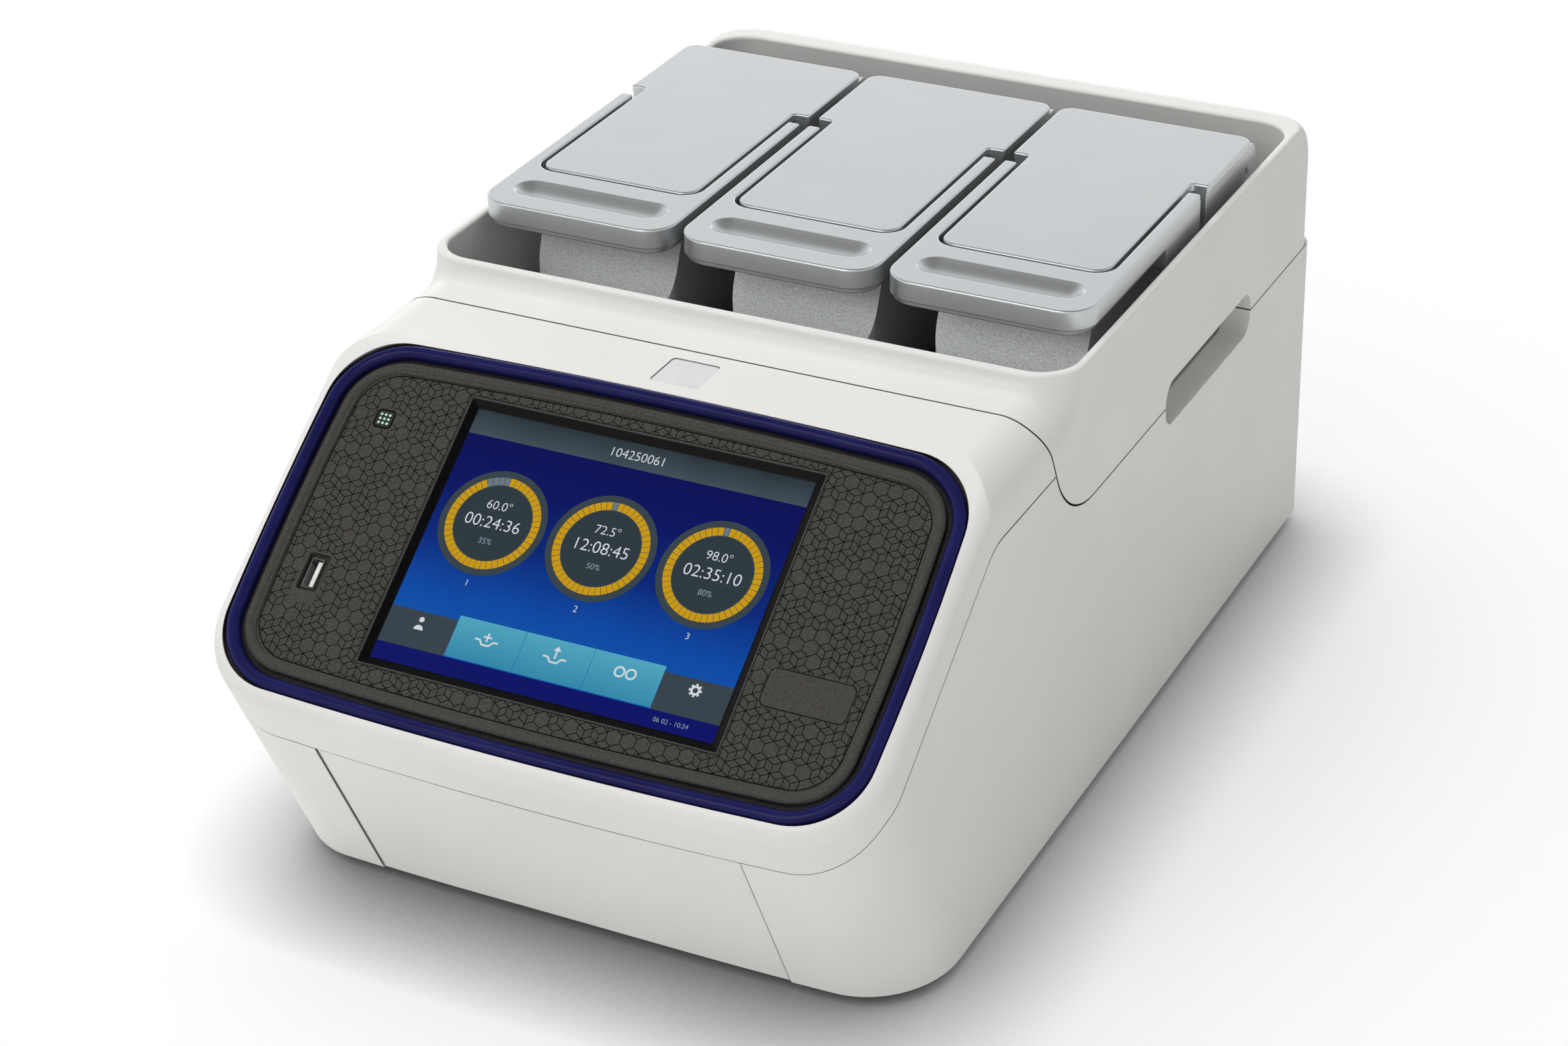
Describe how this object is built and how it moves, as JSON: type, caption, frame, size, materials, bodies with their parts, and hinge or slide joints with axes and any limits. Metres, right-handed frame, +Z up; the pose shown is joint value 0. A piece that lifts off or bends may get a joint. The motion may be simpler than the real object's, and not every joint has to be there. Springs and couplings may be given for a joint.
{
  "type": "thermal cycler",
  "caption": "Bench thermal cycler: white housing with a tilted touch panel, and a lift-out block module with hinged silver lids over sample blocks.",
  "frame": {"origin": "centre of the footprint, on the bench", "axes": "+X to the right as the user sees it, +Y to the back, +Z up; the control panel faces -Y"},
  "size_m": [0.301, 0.5216, 0.233],
  "materials": {
    "white_housing": "satin moulded, warm white",
    "white_bezel": "satin moulded, warm white",
    "white_shroud": "satin moulded, warm white",
    "badge_gloss": "clear gloss over white",
    "navy_trim": "satin navy",
    "charcoal_panel": "fine grain, matt charcoal",
    "name_plate_film": "matt charcoal film",
    "screen_glass": "polished",
    "display": "lit display",
    "status_lens": "moulded lens",
    "usb_metal": "nickel plated",
    "usb_plastic": "moulded",
    "foot_rubber": "matt",
    "screw_steel": "zinc plated",
    "filter_foam": "open foam",
    "tray_steel": "zinc plated sheet",
    "fan_plastic": "black moulded",
    "supply_steel": "plain",
    "board_laminate": "green solder mask",
    "standoff_brass": "turned",
    "rear_sheet": "grey powder coat",
    "inlet_plastic": "black moulded",
    "pin_brass": "plated",
    "rocker_plastic": "gloss black",
    "deck_coat": "black coated",
    "peltier_ceramic": "matt",
    "bracket_steel": "plain",
    "pin_steel": "ground",
    "housing_silver": "fine sand-textured silver paint",
    "block_aluminium": "bare, bead blasted",
    "sink_aluminium": "extruded",
    "lid_silver": "satin silver paint",
    "lid_frame_cast": "cast, dark coat",
    "plate_aluminium": "machined"
  },
  "bodies": {
    "base": {"base_housing": "white_housing", "front_bezel": "white_bezel", "front_lower_panel": "white_housing", "badge_plate": "badge_gloss", "trim_ring": "navy_trim", "control_panel": "charcoal_panel", "name_plate": "name_plate_film", "screen_glass": "screen_glass", "lcd_module": "display", "status_light": "status_lens", "usb_shell": "usb_metal", "usb_tongue": "usb_plastic", "rubber_feet": "foot_rubber", "cover_screws": "screw_steel", "intake_filter": "filter_foam", "chassis_tray": "tray_steel", "module_supports": "tray_steel", "fan_bulkhead": "tray_steel", "fan_frames": "fan_plastic", "power_supply": "supply_steel", "main_board": "board_laminate", "board_standoffs": "standoff_brass", "rear_panel": "rear_sheet", "power_inlet": "inlet_plastic", "inlet_pins": "pin_brass", "rocker_frame": "inlet_plastic"},
    "block_module": {"module_shroud": "white_shroud", "module_deck": "deck_coat", "peltier_modules": "peltier_ceramic", "hinge_brackets": "bracket_steel", "lid_hinge_pins": "pin_steel", "block_housing_1": "housing_silver", "sample_block_1": "block_aluminium", "heat_sink_1": "sink_aluminium", "block_housing_2": "housing_silver", "sample_block_2": "block_aluminium", "heat_sink_2": "sink_aluminium", "block_housing_3": "housing_silver", "sample_block_3": "block_aluminium", "heat_sink_3": "sink_aluminium"},
    "lid_1": {"lid_cover_1": "lid_silver", "lid_frame_1": "lid_frame_cast"},
    "lever_1": {"lever_1": "lid_silver", "cam_shaft_1": "pin_steel"},
    "heated_plate_1": {"heated_plate_1": "plate_aluminium"},
    "fan_1": {"fan_rotor_1": "fan_plastic"},
    "lid_2": {"lid_cover_2": "lid_silver", "lid_frame_2": "lid_frame_cast"},
    "lever_2": {"lever_2": "lid_silver", "cam_shaft_2": "pin_steel"},
    "heated_plate_2": {"heated_plate_2": "plate_aluminium"},
    "fan_2": {"fan_rotor_2": "fan_plastic"},
    "lid_3": {"lid_cover_3": "lid_silver", "lid_frame_3": "lid_frame_cast"},
    "lever_3": {"lever_3": "lid_silver", "cam_shaft_3": "pin_steel"},
    "heated_plate_3": {"heated_plate_3": "plate_aluminium"},
    "fan_3": {"fan_rotor_3": "fan_plastic"},
    "power_rocker": {"power_rocker": "rocker_plastic"}
  },
  "joints": [
    {"name": "module_lift", "type": "slide", "parent": "base", "child": "block_module", "axis": [0, 0, 1], "range_m": [0, 0.16]},
    {"name": "lid_1_hinge", "type": "hinge", "parent": "block_module", "child": "lid_1", "pos_m": [-0.097, 0.1685, 0.218], "axis": [-1, 0, 0], "range_deg": [0, 80]},
    {"name": "lever_1_pivot", "type": "hinge", "parent": "lid_1", "child": "lever_1", "pos_m": [-0.097, 0.1, 0.223], "axis": [-1, 0, 0], "range_deg": [0, 45]},
    {"name": "heated_plate_1_slide", "type": "slide", "parent": "lid_1", "child": "heated_plate_1", "axis": [0, 0, 1], "range_m": [0, 0.0014]},
    {"name": "fan_1_spin", "type": "hinge", "parent": "base", "child": "fan_1", "pos_m": [-0.097, 0.2265, 0.1], "axis": [0, 1, 0], "continuous": true},
    {"name": "lid_2_hinge", "type": "hinge", "parent": "block_module", "child": "lid_2", "pos_m": [0, 0.1685, 0.218], "axis": [-1, 0, 0], "range_deg": [0, 80]},
    {"name": "lever_2_pivot", "type": "hinge", "parent": "lid_2", "child": "lever_2", "pos_m": [0, 0.1, 0.223], "axis": [-1, 0, 0], "range_deg": [0, 45]},
    {"name": "heated_plate_2_slide", "type": "slide", "parent": "lid_2", "child": "heated_plate_2", "axis": [0, 0, 1], "range_m": [0, 0.0014]},
    {"name": "fan_2_spin", "type": "hinge", "parent": "base", "child": "fan_2", "pos_m": [0, 0.2265, 0.1], "axis": [0, 1, 0], "continuous": true},
    {"name": "lid_3_hinge", "type": "hinge", "parent": "block_module", "child": "lid_3", "pos_m": [0.097, 0.1685, 0.218], "axis": [-1, 0, 0], "range_deg": [0, 80]},
    {"name": "lever_3_pivot", "type": "hinge", "parent": "lid_3", "child": "lever_3", "pos_m": [0.097, 0.1, 0.223], "axis": [-1, 0, 0], "range_deg": [0, 45]},
    {"name": "heated_plate_3_slide", "type": "slide", "parent": "lid_3", "child": "heated_plate_3", "axis": [0, 0, 1], "range_m": [0, 0.0014]},
    {"name": "fan_3_spin", "type": "hinge", "parent": "base", "child": "fan_3", "pos_m": [0.097, 0.2265, 0.1], "axis": [0, 1, 0], "continuous": true},
    {"name": "power_rocker_tilt", "type": "hinge", "parent": "base", "child": "power_rocker", "pos_m": [-0.062, 0.253, 0.04272], "axis": [-1, 0, 0], "range_deg": [0, 16]}
  ],
  "couplings": [
    {"joint": "heated_plate_1_slide", "follows": "lever_1_pivot", "m_per_rad": 0.00165},
    {"joint": "heated_plate_2_slide", "follows": "lever_2_pivot", "m_per_rad": 0.00165},
    {"joint": "heated_plate_3_slide", "follows": "lever_3_pivot", "m_per_rad": 0.00165}
  ]
}
